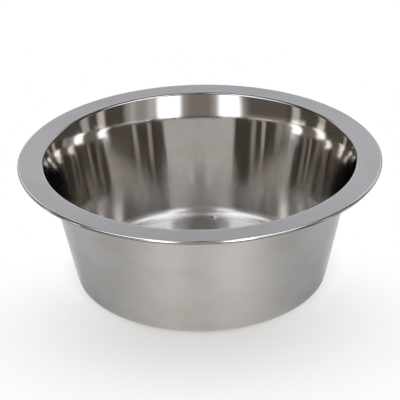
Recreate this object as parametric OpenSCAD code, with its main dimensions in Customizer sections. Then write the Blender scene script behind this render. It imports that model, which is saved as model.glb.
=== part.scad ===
// Round feeding bowl pressed from one sheet of stainless steel.
// The sheet runs in one piece from the flat base, round the foot curve, up the
// leaning wall and its throat, over the lip and out along the flat rim to the
// rolled edge. Each node below is one formed zone of that sheet, cut square to
// the sheet where it meets the next, so the zones touch without overlap.
// The origin is the centre of the face that the bowl stands on, with Z upwards.

/* [Sheet] */
// Thickness of the steel sheet
sheet_t = 0.6; // [0.4:0.05:1]

/* [Bowl] */
// Height from the table to the top of the rim
bowl_h = 87; // [60:1:140]
// Diameter of the opening, where the flat of the rim ends and the lip begins
opening_d = 210; // [170:1:260]
// Lean of the straight wall, in degrees from upright
wall_lean = 11.5; // [5:0.5:18]
// Outside radius of the curve between the wall and the base
foot_r = 7.5; // [3:0.5:16]

/* [Throat] */
// Lean of the wall just below the lip, in degrees from upright
throat_lean = 27; // [20:0.5:40]
// Radius of the long curve in which the wall opens out towards the lip
throat_r = 68; // [30:1:90]

/* [Rim] */
// Top radius of the lip that turns from the wall into the rim
lip_r = 2.2; // [1.2:0.1:5]
// Width of the rim, from the opening to its outermost edge
rim_w = 15; // [8:0.5:30]
// Diameter of the roll along the outer edge
roll_d = 2.4; // [2.1:0.1:5]

/* [Hidden] */

// Smoothness of the curves on screen
$fn = 180;

// The roll is bent in small straight steps, through this angle from straight up
roll_bends = 12;
roll_turn = 270;
// Length of a cutting wedge, in radii of the circle that it cuts
wedge_reach = 3;

steel_wall = "#b9b7b3";
steel_throat = "#aeaeb0";
steel_base = "#8f8d8a";
steel_foot = "#a3a19d";
steel_rim = "#c9cbcd";
steel_roll = "#7d7f82";

// Inside and outside radii of a curved zone are one sheet apart
lip_under_r = lip_r - sheet_t;
throat_under_r = throat_r - sheet_t;
foot_inside_r = foot_r - sheet_t;
roll_r = roll_d / 2;
roll_inside_r = roll_r - sheet_t;

// Directions in the section are unit vectors, as [outwards, upwards]
straight_up = [0, 1];
// Unit vector square to a wall that leans by this angle, towards the inside of the bowl
function inward(lean) = [-cos(lean), sin(lean)];
// Unit vector down such a wall
function down(lean) = [-sin(lean), -cos(lean)];

// Centres and meeting points of the section, as [radius, height]
lip_c = [opening_d / 2, bowl_h - lip_r];
lip_end = lip_c + lip_r * inward(throat_lean);
throat_c = lip_end - throat_r * inward(throat_lean);
wall_top = throat_c + throat_r * inward(wall_lean);
wall_run = (wall_top[1] + foot_inside_r * sin(wall_lean) - foot_r) / cos(wall_lean);
wall_foot = wall_top + wall_run * down(wall_lean);
foot_c = wall_foot + foot_inside_r * inward(wall_lean);
roll_c = [opening_d / 2 + rim_w - roll_r, bowl_h - roll_r];

// Direction from the roll's centre to one of its bends, turned outwards from straight up
function roll_way(bend) =
    let (turn = roll_turn * bend / roll_bends)
    [sin(turn), cos(turn)];

// Flat wedge that cuts a circle of this radius, between two directions up to 120 degrees apart
module wedge(from_way, to_way, radius) {
    reach = radius * wedge_reach;
    middle_way = (from_way + to_way) / norm(from_way + to_way);
    polygon([
        [0, 0],
        reach * from_way,
        reach * middle_way,
        reach * to_way
    ]);
}

// Section of bent sheet: the part of a ring between two directions
module bent_sheet(centre, outer_r, inner_r, from_way, to_way) {
    translate(centre)
        intersection() {
            difference() {
                circle(r = outer_r);
                circle(r = inner_r);
            }
            wedge(from_way, to_way, outer_r);
        }
}

// Turns a section about the bowl's axis
module turned() {
    rotate_extrude()
        children();
}

// Flat round bottom that the bowl stands on
module base_disc() {
    color(steel_base)
        cylinder(h = sheet_t, r = foot_c[0]);
}

// Curve from the base up into the wall
module foot_curve() {
    color(steel_foot)
        turned()
            bent_sheet(foot_c, foot_r, foot_inside_r, -straight_up, -inward(wall_lean));
}

// Leaning wall, straight from the foot curve to the throat
module side_wall() {
    outward = -sheet_t * inward(wall_lean);
    color(steel_wall)
        turned()
            polygon([wall_top, wall_foot, wall_foot + outward, wall_top + outward]);
}

// Long curve in which the wall opens out towards the lip
module throat_curve() {
    lip_side = inward(throat_lean);
    wall_side = inward(wall_lean);
    color(steel_throat)
        turned()
            bent_sheet(throat_c, throat_r, throat_under_r, lip_side, wall_side);
}

// Lip over the opening and the flat rim around it
module rim_flange() {
    color(steel_rim)
        turned()
            union() {
                bent_sheet(lip_c, lip_r, lip_under_r, straight_up, inward(throat_lean));
                polygon([
                    lip_c + lip_r * straight_up,
                    lip_c + lip_under_r * straight_up,
                    roll_c + roll_inside_r * straight_up,
                    roll_c + roll_r * straight_up
                ]);
            }
}

// Outer edge of the sheet, rolled over the side, down and back under
module rolled_edge() {
    color(steel_roll)
        turned()
            polygon([
                for (bend = [0:roll_bends]) roll_c + roll_r * roll_way(bend),
                for (bend = [roll_bends:-1:0]) roll_c + roll_inside_r * roll_way(bend)
            ]);
}

base_disc();
foot_curve();
side_wall();
throat_curve();
rim_flange();
rolled_edge();
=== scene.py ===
"""Stainless feeding bowl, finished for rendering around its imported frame."""

import math

import bpy
from mathutils import Matrix, Vector


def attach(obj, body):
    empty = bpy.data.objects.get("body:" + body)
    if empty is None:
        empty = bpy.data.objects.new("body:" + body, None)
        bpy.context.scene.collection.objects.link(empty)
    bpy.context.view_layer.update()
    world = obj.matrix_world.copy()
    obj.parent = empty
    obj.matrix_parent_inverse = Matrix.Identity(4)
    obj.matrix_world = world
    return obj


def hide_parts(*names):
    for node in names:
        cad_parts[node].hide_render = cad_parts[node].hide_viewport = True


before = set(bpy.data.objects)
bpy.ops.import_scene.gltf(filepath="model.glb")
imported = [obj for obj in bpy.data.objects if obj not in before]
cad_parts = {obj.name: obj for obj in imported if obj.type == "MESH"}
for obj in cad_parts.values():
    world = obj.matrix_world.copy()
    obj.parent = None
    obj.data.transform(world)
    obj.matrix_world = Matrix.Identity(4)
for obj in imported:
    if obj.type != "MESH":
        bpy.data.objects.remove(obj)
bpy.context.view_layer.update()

MM = 0.001

# Driving sizes of the pressed sheet, in metres and degrees, as the construction has them
SHEET = 0.6 * MM
BOWL_HEIGHT = 87 * MM
OPENING_R = 105 * MM
WALL_LEAN = 11.5
FOOT_R = 7.5 * MM
THROAT_LEAN = 27.0
THROAT_R = 68 * MM
LIP_R = 2.2 * MM
RIM_WIDTH = 15 * MM
ROLL_R = 1.2 * MM
ROLL_TURN = 270

# How finely the sheet is made: steps round the bowl, pieces of each straight stretch, and
# degrees to a step of each bend
TURN_STEPS = 360
FLOOR_PIECES = 60
WALL_PIECES = 12
RIM_PIECES = 4
BEND_STEP = 4.0
THROAT_STEP = 1.0
ROLL_STEP = 10.0

# Radius of the circle that a section is carried round, and distance within which points are one
TURNING_R = 50 * MM
WELD = 0.001 * MM

# A face takes the finish of the sheet's other side where more than this share of it lies there.
# A cut end lies half on each side.
OTHER_SHARE = 0.4

# Small round dent at the edge of the floor, where the foot curve begins
DENT_AT = Vector((9 * MM, 76 * MM, SHEET))
DENT_REACH = 3 * MM
DENT_DEPTH = 0.4 * MM


# ---- the sheet's section, as (radius, height) pairs -------------------------------------

def sine(degrees):
    return math.sin(math.radians(degrees))


def cosine(degrees):
    return math.cos(math.radians(degrees))


def inward(lean):
    """Unit vector square to a wall that leans by this angle, towards the inside."""
    return Vector((-cosine(lean), sine(lean)))


def down(lean):
    """Unit vector down a wall that leans by this angle."""
    return Vector((-sine(lean), -cosine(lean)))


LIP_C = Vector((OPENING_R, BOWL_HEIGHT - LIP_R))
THROAT_C = LIP_C + (LIP_R - THROAT_R) * inward(THROAT_LEAN)
WALL_TOP = THROAT_C + THROAT_R * inward(WALL_LEAN)
FOOT_INSIDE_R = FOOT_R - SHEET
WALL_RISE = WALL_TOP.y + FOOT_INSIDE_R * sine(WALL_LEAN) - FOOT_R
WALL_FOOT = WALL_TOP + WALL_RISE / cosine(WALL_LEAN) * down(WALL_LEAN)
FOOT_C = WALL_FOOT + FOOT_INSIDE_R * inward(WALL_LEAN)
ROLL_C = Vector((OPENING_R + RIM_WIDTH - ROLL_R, BOWL_HEIGHT - ROLL_R))


def straight(start, end, normal, pieces):
    """Straight sheet: points with their normals, on its shown face and on its other face."""
    shown, other = [], []
    for i in range(pieces + 1):
        place = start.lerp(end, i / pieces)
        shown.append((place, normal))
        other.append((place - SHEET * normal, -normal))
    return shown, other


def bent(centre, shown_r, other_r, from_angle, to_angle, step=BEND_STEP):
    """Bent sheet between two directions, in degrees, with the same points as straight sheet."""
    facing = 1 if shown_r > other_r else -1
    steps = math.ceil(abs(to_angle - from_angle) / step)
    shown, other = [], []
    for i in range(steps + 1):
        angle = from_angle + (to_angle - from_angle) * i / steps
        out = Vector((cosine(angle), sine(angle)))
        shown.append((centre + shown_r * out, facing * out))
        other.append((centre + other_r * out, -facing * out))
    return shown, other


def joined(first, second):
    """Two stretches of sheet in a row, with the points that they share kept once."""
    return tuple(before + after[1:] for before, after in zip(first, second))


# Directions in the section: degrees from outwards, turning upwards
UPWARDS = 90
INWARDS = 180
DOWNWARDS = -90
UP = Vector((0, 1))

SECTIONS = {
    "base_disc": straight(
        Vector((0, SHEET)), Vector((FOOT_C.x, SHEET)), UP, FLOOR_PIECES,
    ),
    "foot_curve": bent(FOOT_C, FOOT_INSIDE_R, FOOT_R, DOWNWARDS, -WALL_LEAN),
    "side_wall": straight(WALL_FOOT, WALL_TOP, inward(WALL_LEAN), WALL_PIECES),
    "throat_curve": bent(
        THROAT_C, THROAT_R, THROAT_R - SHEET,
        INWARDS - WALL_LEAN, INWARDS - THROAT_LEAN, THROAT_STEP,
    ),
    "rim_flange": joined(
        bent(LIP_C, LIP_R, LIP_R - SHEET, INWARDS - THROAT_LEAN, UPWARDS),
        straight(
            Vector((LIP_C.x, BOWL_HEIGHT)), Vector((ROLL_C.x, BOWL_HEIGHT)), UP, RIM_PIECES,
        ),
    ),
    "rolled_edge": bent(
        ROLL_C, ROLL_R, ROLL_R - SHEET, UPWARDS, UPWARDS - ROLL_TURN, ROLL_STEP,
    ),
}


# ---- short ways to wire nodes -----------------------------------------------------------

def is_socket(value):
    return hasattr(value, "is_output")


class Wiring:
    """A node tree under construction, with short ways to add and join its nodes."""

    def __init__(self, tree):
        self.tree = tree

    def feed(self, socket, value):
        """Joins an output to a socket, or sets the socket's own value."""
        if is_socket(value):
            self.tree.links.new(value, socket)
        else:
            socket.default_value = value

    def add(self, kind, inputs=None, output=0, **settings):
        """Adds a node with these settings and inputs, and gives one of its outputs."""
        made = self.tree.nodes.new(kind)
        for key, value in settings.items():
            setattr(made, key, value)
        for key, value in (inputs or {}).items():
            self.feed(made.inputs[key], value)
        return made.outputs[output]

    def math(self, operation, a, b=None):
        inputs = {0: a} if b is None else {0: a, 1: b}
        return self.add("ShaderNodeMath", inputs, operation=operation)

    def split(self, vector):
        """The three parts of a vector."""
        return self.add("ShaderNodeSeparateXYZ", {0: vector}).node.outputs

    def length(self, vector):
        return self.add("ShaderNodeVectorMath", {0: vector}, "Value", operation="LENGTH")

    def ranged(self, value, low, high, to_low, to_high):
        """Smooth step from one value to another while the input goes from low to high."""
        inputs = dict(enumerate((value, low, high, to_low, to_high)))
        return self.add("ShaderNodeMapRange", inputs, interpolation_type="SMOOTHSTEP")

    def blend(self, share, plain, other):
        """Colour that goes from plain to other as the share goes from 0 to 1."""
        inputs = {"Factor": share}
        for key, colour in (("A", plain), ("B", other)):
            inputs[key] = colour if is_socket(colour) else (*colour, 1)
        return self.add("ShaderNodeMix", inputs, "Result", data_type="RGBA")

    def mixed(self, share, first, second):
        """Shader that goes from the first to the second as the share goes from 0 to 1."""
        return self.add("ShaderNodeMixShader", {0: share, 1: first, 2: second})


# ---- turning a section into sheet metal -------------------------------------------------

def turning_tree():
    """Node tree that turns a section about the bowl's axis and gives each face its finish."""
    tree = bpy.data.node_groups.new("turned_sheet", "GeometryNodeTree")
    for name, way, kind in (
        ("Section", "INPUT", "NodeSocketGeometry"),
        ("Turn steps", "INPUT", "NodeSocketInt"),
        ("Turning radius", "INPUT", "NodeSocketFloat"),
        ("Weld distance", "INPUT", "NodeSocketFloat"),
        ("Shown finish", "INPUT", "NodeSocketMaterial"),
        ("Other finish", "INPUT", "NodeSocketMaterial"),
        ("Sheet", "OUTPUT", "NodeSocketGeometry"),
    ):
        tree.interface.new_socket(name, in_out=way, socket_type=kind)
    made = Wiring(tree)
    given = tree.nodes.new("NodeGroupInput").outputs

    back = made.math("MULTIPLY", given["Turning radius"], -1)
    shift = made.add("ShaderNodeCombineXYZ", {"X": back})
    placed = made.add("GeometryNodeTransform", {
        "Geometry": given["Section"],
        "Translation": shift,
    })
    outline = made.add("GeometryNodeMeshToCurve", {"Mesh": placed})
    circle = made.add("GeometryNodeCurvePrimitiveCircle", {
        "Resolution": given["Turn steps"],
        "Radius": given["Turning radius"],
    })
    turned = made.add("GeometryNodeCurveToMesh", {"Curve": circle, "Profile Curve": outline})
    welded = made.add("GeometryNodeMergeByDistance", {
        "Geometry": turned,
        "Distance": given["Weld distance"],
    })
    shown = made.add("GeometryNodeSetMaterial", {
        "Geometry": welded,
        "Material": given["Shown finish"],
    })

    share = made.add(
        "GeometryNodeInputNamedAttribute", {"Name": "other_face"}, "Attribute", data_type="FLOAT",
    )
    is_other = made.add(
        "FunctionNodeCompare", {"A": share, "B": OTHER_SHARE}, "Result",
        data_type="FLOAT", operation="GREATER_THAN",
    )
    finished = made.add("GeometryNodeSetMaterial", {
        "Geometry": made.add("GeometryNodeRealizeInstances", {0: shown}),
        "Selection": is_other,
        "Material": given["Other finish"],
    })
    made.feed(tree.nodes.new("NodeGroupOutput").inputs["Sheet"], finished)
    return tree


TURNING = turning_tree()


def section_mesh(name, shown, other):
    """Outline of a zone, where each point holds its normal and which face it lies on."""
    points = shown + other[::-1]
    mesh = bpy.data.meshes.new(name)
    edges = [(i, i + 1) for i in range(len(points) - 1)]
    starts_on_axis = points[0][0].x <= WELD
    if not starts_on_axis:
        edges.append((len(points) - 1, 0))
    mesh.from_pydata([(place.x, -place.y, 0) for place, normal in points], edges, [])
    mesh.attributes.new("face_normal", "FLOAT_VECTOR", "POINT")
    mesh.attributes.new("other_face", "FLOAT", "POINT")
    normals = mesh.attributes["face_normal"].data
    sides = mesh.attributes["other_face"].data
    for i, (place, normal) in enumerate(points):
        normals[i].vector = (normal.x, normal.y, 0)
        sides[i].value = 0 if i < len(shown) else 1
    return mesh


def turned_normal(place, held):
    """Normal of the turned sheet at a place, from the normal that its section held there."""
    around = Vector((place.x, place.y, 0))
    around = around.normalized() if around.length > WELD else Vector((1, 0, 0))
    return Vector((held.x * around.x, held.x * around.y, held.y))


def dent(place):
    """Depth of the dent at a place on the shown face, and how its slope leans the normal there.

    The depth is a smooth step of the way in from the rim of the dent, and the slope follows it.
    """
    away = place - DENT_AT
    share = max(0, 1 - away.length / DENT_REACH)
    depth = DENT_DEPTH * share * share * (3 - 2 * share)
    slope = 6 * DENT_DEPTH * share * (1 - share) / DENT_REACH
    return depth, -slope * away.normalized()


def shape_surface(mesh):
    """Presses the dent, and gives each corner its true normal, with the cut ends flat."""
    held = mesh.attributes["face_normal"].data
    on_other = [round(point.value) for point in mesh.attributes["other_face"].data]
    flat = [face.normal.copy() for face in mesh.polygons]
    true = []
    for vertex, section, other in zip(mesh.vertices, held, on_other):
        normal = turned_normal(vertex.co, section.vector)
        if not other:
            depth, lean = dent(vertex.co)
            vertex.co = vertex.co - depth * normal
            normal = (normal + lean).normalized()
        true.append(normal)
    corners = []
    for face, normal in zip(mesh.polygons, flat):
        is_cut_end = len({on_other[v] for v in face.vertices}) > 1
        corners += [normal if is_cut_end else true[v] for v in face.vertices]
    mesh.polygons.foreach_set("use_smooth", [True] * len(mesh.polygons))
    mesh.normals_split_custom_set(corners)
    for name in ("face_normal", "other_face"):
        mesh.attributes.remove(mesh.attributes[name])


def turned_piece(node, shown_finish, other_finish):
    """Turns a zone's section into a plain mesh that stands for the zone's node."""
    name = node + "_steel"
    section = section_mesh(node + "_section", *SECTIONS[node])
    source = bpy.data.objects.new(node + "_section", section)
    bpy.context.scene.collection.objects.link(source)
    turn = source.modifiers.new("turn", "NODES")
    turn.node_group = TURNING
    values = {
        "Turn steps": TURN_STEPS,
        "Turning radius": TURNING_R,
        "Weld distance": WELD,
        "Shown finish": shown_finish,
        "Other finish": other_finish,
    }
    for item in TURNING.interface.items_tree:
        if item.in_out == "INPUT" and item.name in values:
            turn[item.identifier] = values[item.name]
    ready = source.evaluated_get(bpy.context.evaluated_depsgraph_get())
    mesh = bpy.data.meshes.new_from_object(ready)
    mesh.name = name
    bpy.data.objects.remove(source)
    piece = bpy.data.objects.new(name, mesh)
    bpy.context.scene.collection.objects.link(piece)
    shape_surface(mesh)
    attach(piece, "root")
    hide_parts(node)
    return piece


# ---- finishes ---------------------------------------------------------------------------

POLISHED_STEEL = (0.715, 0.693, 0.667)
DRAWN_STEEL = (0.70, 0.685, 0.67)
TURNED_STEEL = (0.60, 0.60, 0.61)
SATIN_STEEL = (0.58, 0.552, 0.522)
RIM_STEEL = (0.565, 0.565, 0.58)
# The roll's steel is brighter than any steel, so that its thin highlight reads brighter: a
# painted highlight
ROLL_STEEL_PAINTED_HIGHLIGHT = (0.86, 0.86, 0.87)
SCUFFED_STEEL = (0.72, 0.72, 0.71)
# Dark steel for the pit, and for the painted shade under the roll
DARK_PIT_AND_PAINTED_SHADE = (0.16, 0.155, 0.15)

# Patterns of noise on the steel: scale round the bowl, scale to a metre along the sheet, detail
GROOVES = (1.5, 2600, 3)
STREAKS = (26, 18, 3)
WAVES = (5, 22, 1)
BLOTS = (4, 60, 4)
LINES = (3, 900, 2)
RUBS = (30, 900, 3)

# Levels of a pattern's noise between which its mark comes up
STREAK_LEVELS = (0.3, 0.7)
STAIN_LEVELS = (0.42, 0.72)
SCRATCH_LEVELS = (0.62, 0.74)
SCUFF_LEVELS = (0.42, 0.62)

# Quarter turn that lays the grain of the steel round the bowl
GROOVES_RUN_ROUND = 0.25

# What stains and scratches do to the steel under them
STAIN = (0.95, 0.90, 0.86)
STAIN_DULLS = 0.03
SCRATCH_SHOWS = 0.5
SCRATCH_DARKENS = 0.85

# The polish of the inside fades from one height down to the other
WORN_FROM = 42 * MM
WORN_TO = 14 * MM
WORN_ROUGHER = 0.07

# The lip is smoother than the flat of the rim
RIM_ROUGHNESS = 0.32
LIP_ROUGHNESS = 0.10

# The roll is darkened as painted shade up to one height, and has its own colour from the other
ROLL_PAINTED_SHADE_TO = ROLL_C.y - 0.3 * ROLL_R
ROLL_UNSHADED_FROM = ROLL_C.y + 0.5 * ROLL_R

# Small marks of use: each is whole within its core and gone at its reach. Those of the scuffs
# are heights above the table.
DENT_CORE = DENT_REACH / 2
DENT_ROUGHNESS = 0.1
PIT_AT = (-3.1 * MM, -94.2 * MM, 51.9 * MM)
PIT_REACH = 0.65 * MM
PIT_CORE = 0.3 * PIT_REACH
SCUFF_REACH = 7 * MM
SCUFF_CORE = SCUFF_REACH / 4
SCUFF_SHOWS = 0.8
SCUFF_ROUGHER = 0.15


class Finish(Wiring):
    """A material under construction, with places on the bowl for its patterns to follow."""

    def __init__(self, name):
        self.material = bpy.data.materials.new(name)
        self.material.use_nodes = True
        super().__init__(self.material.node_tree)
        self.body = self.tree.nodes["Principled BSDF"]

    def set_colour(self, colour):
        self.colour = colour
        self.feed(self.body.inputs["Base Color"], colour)

    def set_roughness(self, roughness):
        self.roughness = roughness
        self.feed(self.body.inputs["Roughness"], roughness)

    def set_matt(self, colour):
        """Dead matt body of one colour, for the studio."""
        self.set_colour((*colour, 1))
        self.set_roughness(1)
        self.feed(self.body.inputs["Specular IOR Level"], 0)

    def show(self, shader):
        """Puts this shader on the surface, in place of the body alone."""
        self.feed(self.tree.nodes["Material Output"].inputs["Surface"], shader)

    def place(self):
        return self.add("ShaderNodeTexCoord", output="Object")

    def height(self):
        return self.split(self.place())["Z"]

    def distance_to(self, centre):
        inputs = {0: self.place(), 1: centre}
        return self.add("ShaderNodeVectorMath", inputs, "Value", operation="DISTANCE")

    def radius(self):
        """Distance from the bowl's axis."""
        inputs = {0: self.place(), 1: (1, 1, 0)}
        level = self.add("ShaderNodeVectorMath", inputs, "Vector", operation="MULTIPLY")
        return self.length(level)

    def pattern(self, round_scale, along_scale, detail):
        """Noise without a seam on the turned sheet, scaled round the bowl and along the sheet."""
        x, y, z = self.split(self.place())
        radius = self.radius()
        divisor = self.math("MAXIMUM", radius, MM)
        place = self.add("ShaderNodeCombineXYZ", {
            0: self.math("MULTIPLY", self.math("DIVIDE", x, divisor), round_scale),
            1: self.math("MULTIPLY", self.math("DIVIDE", y, divisor), round_scale),
            2: self.math("MULTIPLY", self.math("ADD", radius, z), along_scale),
        })
        inputs = {"Vector": place, "Scale": 1, "Detail": detail}
        return self.add("ShaderNodeTexNoise", inputs, "Fac")


def brushed_steel(name, colour, roughness, anisotropy, groove_depth, wave_depth, stain, spread=0):
    """Steel with grooves that run round the bowl, slow waves in the sheet, and faint marks."""
    made = Finish(name)
    steel = made.body.inputs
    steel["Metallic"].default_value = 1
    steel["Anisotropic"].default_value = anisotropy
    steel["Anisotropic Rotation"].default_value = GROOVES_RUN_ROUND
    grain = made.add("ShaderNodeTangent", direction_type="RADIAL", axis="Z")
    made.feed(steel["Tangent"], grain)

    stained = made.ranged(made.pattern(*BLOTS), *STAIN_LEVELS, 0, stain)
    scratched = made.ranged(made.pattern(*LINES), *SCRATCH_LEVELS, 0, SCRATCH_SHOWS)
    tint = made.blend(stained, colour, [part * worn for part, worn in zip(colour, STAIN)])
    scratch = [part * SCRATCH_DARKENS for part in colour]
    made.set_colour(made.blend(scratched, tint, scratch))

    streaks = made.pattern(*STREAKS)
    uneven = made.ranged(streaks, *STREAK_LEVELS, roughness - spread, roughness + spread)
    duller = made.math("MULTIPLY", stained, STAIN_DULLS)
    made.set_roughness(made.math("ADD", uneven, duller))

    grooved = made.add("ShaderNodeBump", {
        "Distance": groove_depth,
        "Height": made.pattern(*GROOVES),
    })
    waved = made.add("ShaderNodeBump", {
        "Distance": wave_depth,
        "Height": made.pattern(*WAVES),
        "Normal": grooved,
    })
    made.feed(steel["Normal"], waved)
    return made


def polish_dent(made):
    """Makes the steel smoother in the dent, where the sheet was stretched."""
    away = made.distance_to(DENT_AT)
    made.set_roughness(
        made.ranged(away, DENT_CORE, DENT_REACH, DENT_ROUGHNESS, made.roughness)
    )


def drawn_inside():
    """Polish round the inside of the wall, which fades low down, where food is scraped out."""
    made = brushed_steel(
        "drawn_inside", POLISHED_STEEL, roughness=0.07, anisotropy=0.93,
        groove_depth=0.001 * MM, wave_depth=0.08 * MM, stain=0.5, spread=0.02,
    )
    worn = made.ranged(made.height(), WORN_TO, WORN_FROM, WORN_ROUGHER, 0)
    made.set_roughness(made.math("ADD", made.roughness, worn))
    return made.material


def drawn_foot():
    """Softer finish in the curve at the foot of the wall."""
    made = brushed_steel(
        "drawn_foot", DRAWN_STEEL, roughness=0.28, anisotropy=0.85,
        groove_depth=0.001 * MM, wave_depth=0.04 * MM, stain=0.5,
    )
    polish_dent(made)
    return made.material


def turned_floor():
    """Floor turned in fine circles, which draw its reflections out into fans."""
    made = brushed_steel(
        "turned_floor", TURNED_STEEL, roughness=0.19, anisotropy=0.9,
        groove_depth=0.001 * MM, wave_depth=0.01 * MM, stain=0.3,
    )
    polish_dent(made)
    return made.material


def rim_top():
    """Satin flat of the rim, with a smoother lip."""
    made = brushed_steel(
        "rim_top", RIM_STEEL, roughness=RIM_ROUGHNESS, anisotropy=0.5,
        groove_depth=0.001 * MM, wave_depth=0.01 * MM, stain=0.8,
    )
    lip_from, lip_to = OPENING_R - LIP_R, OPENING_R + LIP_R
    made.set_roughness(
        made.ranged(made.radius(), lip_from, lip_to, LIP_ROUGHNESS, RIM_ROUGHNESS)
    )
    return made.material


def rolled_rim():
    """Polished roll, its colour brighter than steel as a painted highlight, and darkened as
    painted shade where it turns under.
    """
    made = brushed_steel(
        "rolled_rim", ROLL_STEEL_PAINTED_HIGHLIGHT, roughness=0.08, anisotropy=0.3,
        groove_depth=0.0005 * MM, wave_depth=0.01 * MM, stain=0.2,
    )
    # Painted shade on the underside of the roll, where it turns under
    under = made.ranged(made.height(), ROLL_PAINTED_SHADE_TO, ROLL_UNSHADED_FROM, 1, 0)
    made.set_colour(made.blend(under, made.colour, DARK_PIT_AND_PAINTED_SHADE))
    return made.material


def satin_outside():
    """Satin with one dark pit, and pale rubbed patches low down, where the bowl slides."""
    made = brushed_steel(
        "satin_outside", SATIN_STEEL, roughness=0.45, anisotropy=0.75,
        groove_depth=0.002 * MM, wave_depth=0.03 * MM, stain=0.6,
    )
    pitted = made.ranged(made.distance_to(PIT_AT), PIT_CORE, PIT_REACH, 1, 0)
    made.set_colour(made.blend(pitted, made.colour, DARK_PIT_AND_PAINTED_SHADE))

    low = made.ranged(made.height(), SCUFF_CORE, SCUFF_REACH, 1, 0)
    rubbed = made.ranged(made.pattern(*RUBS), *SCUFF_LEVELS, 0, SCUFF_SHOWS)
    scuffed = made.math("MULTIPLY", rubbed, low)
    made.set_colour(made.blend(scuffed, made.colour, SCUFFED_STEEL))
    rougher = made.math("MULTIPLY", scuffed, SCUFF_ROUGHER)
    made.set_roughness(made.math("ADD", made.roughness, rougher))
    return made.material


wall_finish = drawn_inside()
outside_finish = satin_outside()
for node, finish, slot in (
    ("base_disc", turned_floor(), "turned_steel"),
    ("foot_curve", drawn_foot(), "wall_steel"),
    ("side_wall", wall_finish, "wall_steel"),
    ("throat_curve", wall_finish, "wall_steel"),
    ("rim_flange", rim_top(), "rim_steel"),
    ("rolled_edge", rolled_rim(), "rim_steel"),
):
    piece = turned_piece(node, finish, outside_finish)

# ---- studio -----------------------------------------------------------------------------

WHITE = (1, 1, 1)

# The white table, in metres. It lies a little under the bowl, and its centre is behind the bowl.
TABLE_WIDE = 0.42
TABLE_LONG = 1.0
TABLE_BACK = 0.2
TABLE_DROP = 0.2 * MM
TABLE_WHITE = (0.95, 0.95, 0.95)

# The table glows to plain white away from the bowl. Its glow fades in a painted shadow outline at
# the bowl's foot and, drawn out sideways, in front of it, where the table's real shadow shows
SHADOW_FORWARD = 95 * MM
SHADOW_STRETCH = 1.7
SHADOW_FROM = 15 * MM
SHADOW_TO = 235 * MM
FOOT_SHADOW_FROM = 70 * MM
FOOT_SHADOW_TO = 102 * MM
GLOW_IN_SHADOW = 0.25

# Grey cards on the table at both sides, which pass under the bowl's foot and are seen only in
# its steel. Each starts at an angle from the front, about the bowl's axis. Towards the back it
# turns to a bright white and then ends, at angles about a pivot near the wall. Each of these
# changes runs from one angle to another, in degrees.
CARD_NEAR = 20 * MM
CARD_FAR = 160 * MM
CARD_FRONT = -150 * MM
CARD_BACK = 130 * MM
CARD_DROP = 0.1 * MM
CARD_GREY = (0.77, 0.84, 0.91)
CARD_WHITE = (1.35, 1.47, 1.6)
CARD_PIVOT = (79 * MM, -25 * MM)
CARD_STARTS = (25, 58)
CARD_TURNS_WHITE = (26, 70)
CARD_ENDS = (89, 100)

# Colours of the light from the panels
COOL = (0.94, 0.98, 1.04)
FAINTLY_COOL = (0.98, 1.0, 1.03)
BLUE = (0.86, 0.95, 1.08)
PLAIN = (1.01, 1.0, 0.98)
WARM = (1.05, 1.0, 0.94)
ROSY = (1.08, 1.0, 0.96)
BROWN = (1.18, 0.97, 0.85)

# Angles that many panels share: the heights of their lower edges, and the way to the back
TABLE_EDGE = -12
BELOW_TABLE = -60
BEHIND = 180

# Panels that the steel mirrors, in degrees: centre from the front towards +X, half width, bottom
# and top above the table, width of the soft edge. Then the strength and colour of the light.
PANELS = (
    ("left_softbox", -24, 7.6, TABLE_EDGE, 42, 8, 1.8, COOL),
    ("right_softbox", 23, 8.1, TABLE_EDGE, 42, 8, 2.2, COOL),
    ("left_softbox_glow", -24, 12, TABLE_EDGE, 40, 11, 0.32, COOL),
    ("right_softbox_glow", 23, 12, TABLE_EDGE, 40, 11, 0.32, COOL),
    ("left_overhead", -66, 32, 48, 62, 7, 2.1, COOL),
    ("right_overhead", 66, 32, 48, 62, 7, 2.1, COOL),
    ("left_ceiling_light", -84, 40, 68, 92, 8, 2.1, COOL),
    ("right_ceiling_light", 84, 40, 68, 92, 8, 2.1, COOL),
    ("front_ceiling", 0, 82, 40, 62, 8, 0.22, WARM),
    ("front_wall", 0, 18, TABLE_EDGE, 36, 8, 0.135, ROSY),
    ("left_wall", -52, 19, TABLE_EDGE, 30, 7, 0.035, BROWN),
    ("left_low_wall", -52, 19, TABLE_EDGE, 7, 5, 0.12, BROWN),
    ("left_window_edge", -78.5, 3.2, TABLE_EDGE, 30, 3.5, 0.44, PLAIN),
    ("left_low_window", -81, 6, TABLE_EDGE, 7, 5, 0.85, WARM),
    ("left_door", -103, 3, TABLE_EDGE, 30, 3.5, 0.36, WARM),
    ("left_low_door", -103, 4, TABLE_EDGE, 7, 4, 0.35, WARM),
    ("right_window", 46, 12.5, TABLE_EDGE, 40, 5, 0.24, PLAIN),
    ("right_window_edge", 38, 3, TABLE_EDGE, 40, 4, 0.13, PLAIN),
    ("right_window_middle", 52, 2.5, TABLE_EDGE, 40, 3, 0.13, PLAIN),
    ("right_window_end", 79, 3.0, TABLE_EDGE, 36, 3.5, 0.52, WARM),
    ("right_low_window", 82, 4, TABLE_EDGE, 7, 4, 0.22, WARM),
    ("right_door", 94.5, 3.4, TABLE_EDGE, 36, 4, 0.34, PLAIN),
    ("front_low_card", 0, 53, BELOW_TABLE, -14, 16, 1.0, WARM),
    ("left_low_card", -120, 44, BELOW_TABLE, -8, 20, 0.68, COOL),
    ("right_low_card", 120, 44, BELOW_TABLE, -8, 20, 0.70, COOL),
    ("back_wall", BEHIND, 54, 13, 40, 5, 0.61, FAINTLY_COOL),
    ("white_sweep", BEHIND, 19, -40, 12, 10, 1.1, BLUE),
)

# Light of the room, which the steel mirrors between the panels
ROOM = (0.079, 0.068, 0.058)


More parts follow.
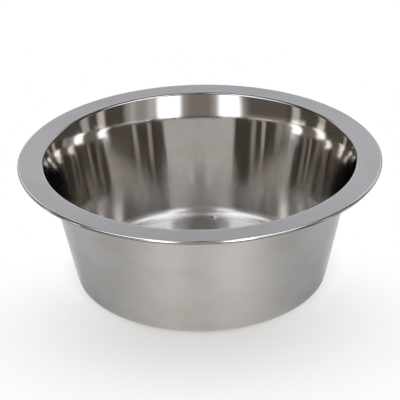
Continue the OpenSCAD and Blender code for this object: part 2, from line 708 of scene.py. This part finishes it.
def table_material():
    """Matt white table that glows away from the bowl, and fades its glow in a painted shadow
    outline near it, where its real shadow shows.
    """
    made = Finish("studio_table")
    made.set_matt(TABLE_WHITE)
    place = made.add("ShaderNodeNewGeometry", output="Position")
    from_shadow = made.add("ShaderNodeMapping", {
        "Vector": place,
        "Location": (0, SHADOW_FORWARD * SHADOW_STRETCH, 0),
        "Scale": (1, SHADOW_STRETCH, 1),
    })
    # Painted shadow: the glow fades in an outline in front of the bowl and at its foot
    front = made.ranged(made.length(from_shadow), SHADOW_FROM, SHADOW_TO, GLOW_IN_SHADOW, 1)
    foot = made.ranged(made.length(place), FOOT_SHADOW_FROM, FOOT_SHADOW_TO, GLOW_IN_SHADOW, 1)
    glows = made.math("MINIMUM", front, foot)
    glow = made.add("ShaderNodeEmission")
    made.show(made.mixed(glows, made.body.outputs[0], glow))
    return made.material


def card_material():
    """Matt grey card that turns to a bright white towards the back, and is clear at both ends."""
    made = Finish("studio_card")
    made.set_matt(CARD_GREY)
    x, y, z = made.split(made.add("ShaderNodeNewGeometry", output="Position"))
    side = made.math("ABSOLUTE", x)
    forward = made.math("MULTIPLY", y, -1)
    from_front = made.math("DEGREES", made.math("ARCTAN2", side, forward))
    aside = made.math("SUBTRACT", side, CARD_PIVOT[0])
    behind = made.math("SUBTRACT", y, CARD_PIVOT[1])
    about_pivot = made.math("DEGREES", made.math("ARCTAN2", behind, aside))

    white = made.ranged(about_pivot, *CARD_TURNS_WHITE, 0, 1)
    glow = made.add("ShaderNodeEmission", {"Color": (*CARD_WHITE, 1)})
    card = made.mixed(white, made.body.outputs[0], glow)
    clear_in_front = made.ranged(from_front, *CARD_STARTS, 1, 0)
    clear_behind = made.ranged(about_pivot, *CARD_ENDS, 0, 1)
    clear = made.math("MAXIMUM", clear_in_front, clear_behind)
    made.show(made.mixed(clear, card, made.add("ShaderNodeBsdfTransparent")))
    return made.material


def flat_sheet(name, left, right, near, far, height, material):
    """Flat rectangle of the studio, facing up."""
    mesh = bpy.data.meshes.new(name)
    corners = ((left, near), (right, near), (right, far), (left, far))
    mesh.from_pydata([(x, y, height) for x, y in corners], [], [(0, 1, 2, 3)])
    mesh.materials.append(material)
    made = bpy.data.objects.new(name, mesh)
    bpy.context.scene.collection.objects.link(made)
    return made


def studio_world():
    """Plain white to the eye and to matt surfaces, with panels that the steel mirrors."""
    world = bpy.data.worlds.new("studio")
    world.use_nodes = True
    made = Wiring(world.node_tree)
    x, y, z = made.split(made.add("ShaderNodeTexCoord", output="Generated"))
    height = made.math("DEGREES", made.math("ARCSINE", z))
    seen = ROOM
    for name, centre, half, bottom, top, soft, strength, light in PANELS:
        c, s = cosine(centre), sine(centre)
        ahead = made.math("SUBTRACT", made.math("MULTIPLY", x, s), made.math("MULTIPLY", y, c))
        aside = made.math("ADD", made.math("MULTIPLY", x, c), made.math("MULTIPLY", y, s))
        off = made.math("ABSOLUTE", made.math("DEGREES", made.math("ARCTAN2", aside, ahead)))
        edge = soft / 2
        width = made.ranged(off, half - edge, half + edge, 1, 0)
        over = made.ranged(height, bottom - edge, bottom + edge, 0, 1)
        under = made.ranged(height, top - edge, top + edge, 1, 0)
        panel = made.math("MULTIPLY", made.math("MULTIPLY", width, over), under)
        inputs = {0: panel, 1: [strength * part for part in light], 2: seen}
        seen = made.add("ShaderNodeVectorMath", inputs, operation="MULTIPLY_ADD", label=name)
    mirrored = made.add("ShaderNodeLightPath", output="Is Glossy Ray")
    sky = made.tree.nodes["Background"].inputs
    made.feed(sky["Color"], made.blend(mirrored, WHITE, seen))
    made.feed(sky["Strength"], 1)
    return world


flat_sheet(
    "studio_table", -TABLE_WIDE / 2, TABLE_WIDE / 2,
    TABLE_BACK - TABLE_LONG / 2, TABLE_BACK + TABLE_LONG / 2, -TABLE_DROP, table_material(),
)
card_finish = card_material()
for side, left, right in (("left", -CARD_FAR, -CARD_NEAR), ("right", CARD_NEAR, CARD_FAR)):
    card = flat_sheet(
        "studio_card_" + side, left, right, CARD_FRONT, CARD_BACK, -CARD_DROP, card_finish,
    )
    card.visible_camera = card.visible_diffuse = card.visible_shadow = False
bpy.context.scene.world = studio_world()

# ---- camera -----------------------------------------------------------------------------

# Fitted to the photo: pixels, millimetres of sensor, metres and degrees
PHOTO_SIDE = 400
FOCAL_PX = 1660.1
SENSOR = 36
CAMERA_FAR = 1.1102
CAMERA_UP = 26.974
CAMERA_ROLL = -1.174
AIM = Vector((-0.00037, 0, 0.0539))

cam_data = bpy.data.cameras.new("camera")
cam_data.sensor_width = SENSOR
cam_data.lens = FOCAL_PX / PHOTO_SIDE * SENSOR
cam = bpy.data.objects.new("camera", cam_data)
bpy.context.scene.collection.objects.link(cam)
tilt = Matrix.Rotation(math.radians(90) - math.radians(CAMERA_UP), 4, "X")
roll = Matrix.Rotation(math.radians(CAMERA_ROLL), 4, "Z")
back = Vector((0, -cosine(CAMERA_UP), sine(CAMERA_UP)))
cam.matrix_world = Matrix.Translation(AIM + CAMERA_FAR * back) @ tilt @ roll
bpy.context.scene.camera = cam
bpy.context.scene.view_settings.view_transform = "Standard"

bpy.context.view_layer.update()
